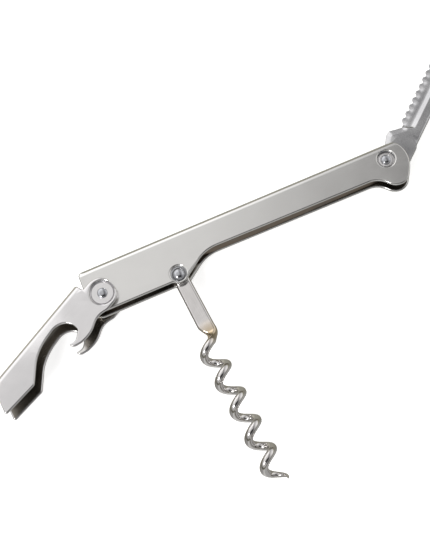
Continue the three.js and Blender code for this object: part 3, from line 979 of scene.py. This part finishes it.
# CAD node, place, radius of the shank, radius of the head, height of the dome, height of its top.
RIVETS = [
    ("lever_rivet", LEVER_PIVOT, LEVER_BORE - CLEARANCE, 1.7, 0.75, 5.9),
    ("worm_rivet", WORM_PIVOT, WORM_BORE - CLEARANCE, 2.0, 1.3, 3.75),
    ("knife_rivet", KNIFE_PIVOT, KNIFE_BORE - CLEARANCE, 1.6, 0.85, 3.55),
]
for cad_node, *shape in RIVETS:
    PIECES.append((make_rivet(cad_node + "_headed", *shape), "handle", cad_node, "rivet_steel"))
for side, word in ((1, "upper"), (-1, "lower")):
    large = make_washer("lever_ring_" + word, LEVER_PIVOT, side, LEVER_BORE, 3.65, 4.75, 5.1)
    small = make_washer("knife_ring_" + word, KNIFE_PIVOT, side, KNIFE_BORE, 2.4, 2.3, 2.6)
    PIECES.append((large, "lever", "lever_washer_" + word, "rivet_steel"))
    PIECES.append((small, "handle", "knife_washer_" + word, "rivet_steel"))

for piece, body, cad_node, slot in PIECES:
    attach(piece, body)
    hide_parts(cad_node)


# ---------------------------------------------------------------- floor, light and camera

def make_floor():
    mesh = bpy.data.meshes.new("floor")
    size = 4.0
    corners = [(-size, -size, 0), (size, -size, 0), (size, size, 0), (-size, size, 0)]
    mesh.from_pydata(corners, [], [(0, 1, 2, 3)])
    floor = bpy.data.objects.new("floor", mesh)
    floor.location.z = -0.0002
    bpy.context.scene.collection.objects.link(floor)
    material = bpy.data.materials.new("pale_floor")
    material.use_nodes = True
    tree = material.node_tree
    shader = tree.nodes["Principled BSDF"]
    shader.inputs["Roughness"].default_value = 0.9
    place = node(tree, "ShaderNodeTexCoord")
    grain = node(tree, "ShaderNodeTexNoise", in_Scale=400.0, in_Detail=3.0)
    tree.links.new(place.outputs["Object"], grain.inputs["Vector"])
    colour = ramp(tree, [(0.3, 0.88), (0.7, 0.92)])
    tree.links.new(grain.outputs[0], colour.inputs[0])
    tree.links.new(colour.outputs[0], shader.inputs["Base Color"])
    shader.inputs["Emission Color"].default_value = (1, 1, 1, 1)
    shader.inputs["Emission Strength"].default_value = 0.7
    mesh.materials.append(material)
    floor.visible_glossy = False


# The surround that the steel mirrors, as brightness by direction: stops along each axis, where 0 stands
# for -1, above and below the horizon, and a dark patch round one fixed direction.
DARK_PATCH_AT = (-0.03, -0.48, 0.877)
ABOVE_STOPS = [
    (0.5, (0.39, 0.37, 0.27)),
    (0.59, (0.43, 0.41, 0.31)),
    (0.65, (1.4, 1.39, 1.37)),
    (0.76, (1.6, 1.585, 1.58)),
    (0.89, (1.5, 1.49, 1.48)),
    (0.918, (1.22, 1.21, 1.20)),
    (0.94, (0.97, 0.96, 0.95)),
    (0.955, (0.92, 0.91, 0.90)),
    (1.0, (0.86, 0.85, 0.84)),
]
ACROSS_STOPS = [(0.0, 0.42), (0.22, 0.50), (0.34, 0.72), (0.45, 1.0), (1.0, 1.0)]
BELOW_STOPS = [
    (0.0, (0.46, 0.46, 0.45)),
    (0.35, (0.42, 0.415, 0.40)),
    (0.48, (0.34, 0.335, 0.31)),
    (0.62, (0.27, 0.26, 0.225)),
    (0.75, (0.30, 0.29, 0.245)),
    (1.0, (0.40, 0.39, 0.34)),
]
BELOW_SIDE_STOPS = [(0.0, 0.8), (0.2, 0.9), (0.26, 1.5), (0.36, 1.5), (0.45, 1.0), (1.0, 1.0)]
ALONG_STOPS = [
    (0.0, 0.40),
    (0.12, 0.50),
    (0.22, 0.80),
    (0.36, 0.86),
    (0.42, 0.82),
    (0.45, 0.93),
    (0.47, 0.95),
    (0.52, 0.90),
    (0.541, 0.77),
    (0.558, 0.665),
    (0.568, 0.58),
    (0.579, 0.49),
    (0.60, 0.35),
    (0.70, 0.37),
    (1.0, 0.75),
]
DARK_PATCH_STOPS = [(0.0, 1.0), (0.83, 1.0), (0.90, 0.65), (0.95, 0.14), (1.0, 0.07)]


def make_world():
    """A pale studio: bright overhead, falling off along X and below the horizon, with one dark patch."""
    world = bpy.data.worlds.new("studio")
    bpy.context.scene.world = world
    world.use_nodes = True
    tree = world.node_tree
    tree.nodes.clear()
    link = tree.links.new
    out = node(tree, "ShaderNodeOutputWorld")
    background = node(tree, "ShaderNodeBackground")
    link(background.outputs[0], out.inputs["Surface"])
    place = node(tree, "ShaderNodeTexCoord")
    split = node(tree, "ShaderNodeSeparateXYZ")
    link(place.outputs["Generated"], split.inputs[0])

    def unit(socket):
        """-1..1 to 0..1."""
        half = node(tree, "ShaderNodeMath", operation="MULTIPLY_ADD", in_1=0.5, in_2=0.5)
        link(socket, half.inputs[0])
        return half.outputs[0]

    def product(a, b):
        mix = node(tree, "ShaderNodeMix", data_type="RGBA", blend_type="MULTIPLY")
        mix.inputs[0].default_value = 1
        link(a, mix.inputs[6])
        link(b, mix.inputs[7])
        return mix.outputs[2]

    above = ramp(tree, ABOVE_STOPS)
    link(unit(split.outputs["Z"]), above.inputs[0])
    along = ramp(tree, ALONG_STOPS)
    link(unit(split.outputs["X"]), along.inputs[0])
    below = ramp(tree, BELOW_STOPS)
    link(unit(split.outputs["Y"]), below.inputs[0])
    below_side = ramp(tree, BELOW_SIDE_STOPS)
    link(unit(split.outputs["X"]), below_side.inputs[0])
    across = ramp(tree, ACROSS_STOPS)
    link(unit(split.outputs["Y"]), across.inputs[0])
    horizon = node(tree, "ShaderNodeMapRange")
    horizon.inputs["From Min"].default_value = -0.03
    horizon.inputs["From Max"].default_value = 0.05
    link(split.outputs["Z"], horizon.inputs["Value"])
    both = node(tree, "ShaderNodeMix", data_type="RGBA")
    link(horizon.outputs[0], both.inputs[0])
    link(product(below.outputs[0], below_side.outputs[0]), both.inputs[6])
    upper = product(above.outputs[0], along.outputs[0])
    link(product(upper, across.outputs[0]), both.inputs[7])
    dot = node(tree, "ShaderNodeVectorMath", operation="DOT_PRODUCT")
    link(place.outputs["Generated"], dot.inputs[0])
    dot.inputs[1].default_value = DARK_PATCH_AT
    patch = ramp(tree, DARK_PATCH_STOPS)
    link(dot.outputs["Value"], patch.inputs[0])
    colour = product(both.outputs[2], patch.outputs[0])
    link(colour, background.inputs["Color"])
    background.inputs["Strength"].default_value = 1.05


def make_key_light():
    light = bpy.data.lights.new("key", "AREA")
    light.shape = "DISK"
    light.size = 0.22
    light.energy = 2.0
    light.color = (1.0, 0.985, 0.97)
    key = bpy.data.objects.new("key", light)
    key.location = (-0.55, -0.30, 0.60)
    key.rotation_euler = (Vector((0, 0, 0)) - key.location).to_track_quat("-Z", "Y").to_euler()
    bpy.context.scene.collection.objects.link(key)


def make_camera():
    """Above the tool and a little in front of it, turned about its line of sight."""
    place = Vector((-20.56, -111.96, 379.6)) * MM
    aim = Vector((-9.421, 16.251, 0)) * MM
    roll = math.radians(-18.19)
    camera = bpy.data.cameras.new("camera")
    camera.lens = 80.45
    camera.sensor_width = 36
    camera.clip_start = 0.01
    camera.clip_end = 20
    holder = bpy.data.objects.new("camera", camera)
    facing = (aim - place).to_track_quat("-Z", "Y").to_matrix().to_4x4()
    holder.matrix_world = Matrix.Translation(place) @ facing @ Matrix.Rotation(roll, 4, "Z")
    bpy.context.scene.collection.objects.link(holder)
    bpy.context.scene.camera = holder


make_floor()
make_world()
make_key_light()
make_camera()
bpy.context.scene.view_settings.view_transform = "Standard"
